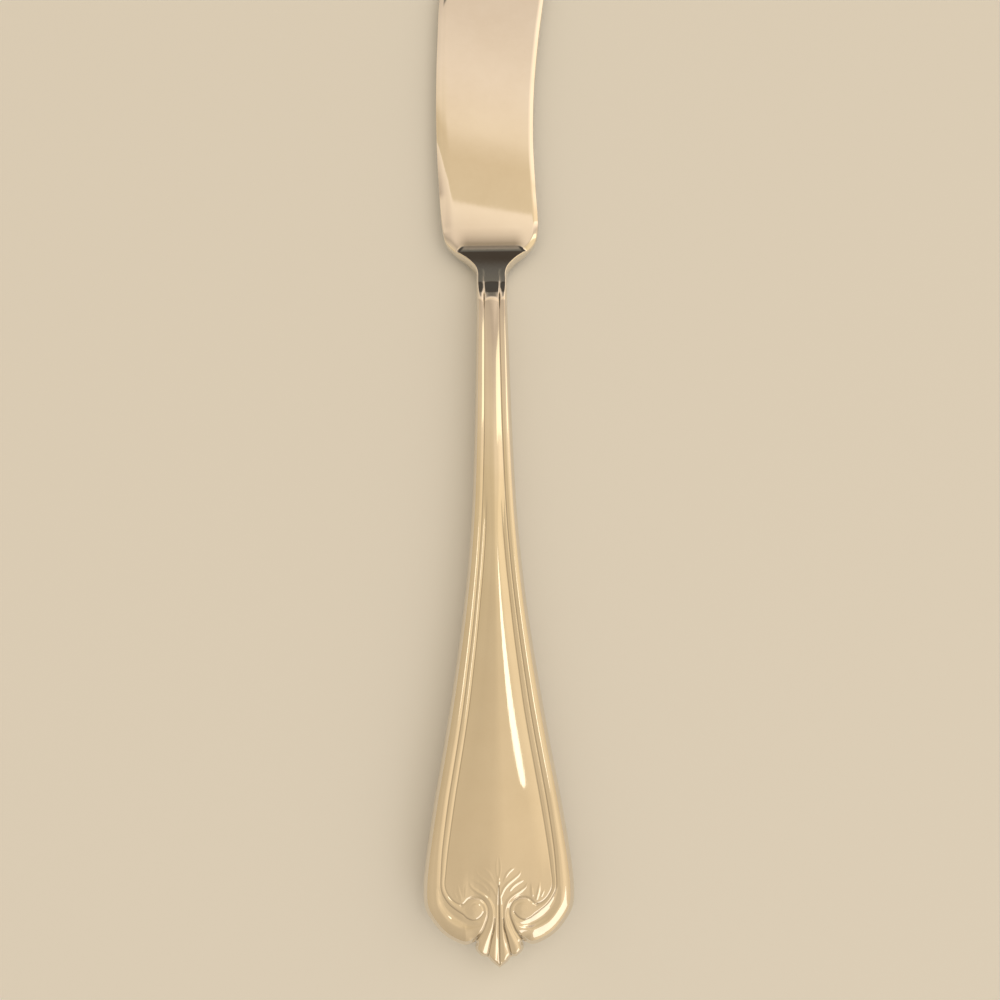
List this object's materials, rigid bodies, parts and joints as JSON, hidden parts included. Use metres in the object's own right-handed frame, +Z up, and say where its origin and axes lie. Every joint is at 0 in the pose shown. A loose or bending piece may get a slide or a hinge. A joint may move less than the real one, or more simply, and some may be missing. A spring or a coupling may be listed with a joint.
{
  "type": "butter knife",
  "caption": "Serving butter knife with an upswept blade and a hollow flared handle edged with a grooved thread, ending in a small fan.",
  "frame": {"origin": "middle of the knife's bounding box, on the surface that it lies on", "axes": "+Y from the butt of the handle to the tip of the blade, +X towards the blade's spine, +Z up out of the front face"},
  "size_m": [0.022, 0.178, 0.0069],
  "materials": {
    "blade_steel": "polished stainless steel",
    "handle_steel": "polished stainless steel",
    "cement": "rough set cement"
  },
  "bodies": {
    "root": {"blade": "blade_steel", "handle_front_shell": "handle_steel", "handle_back_shell": "handle_steel", "handle_cement": "cement"}
  },
  "joints": []
}
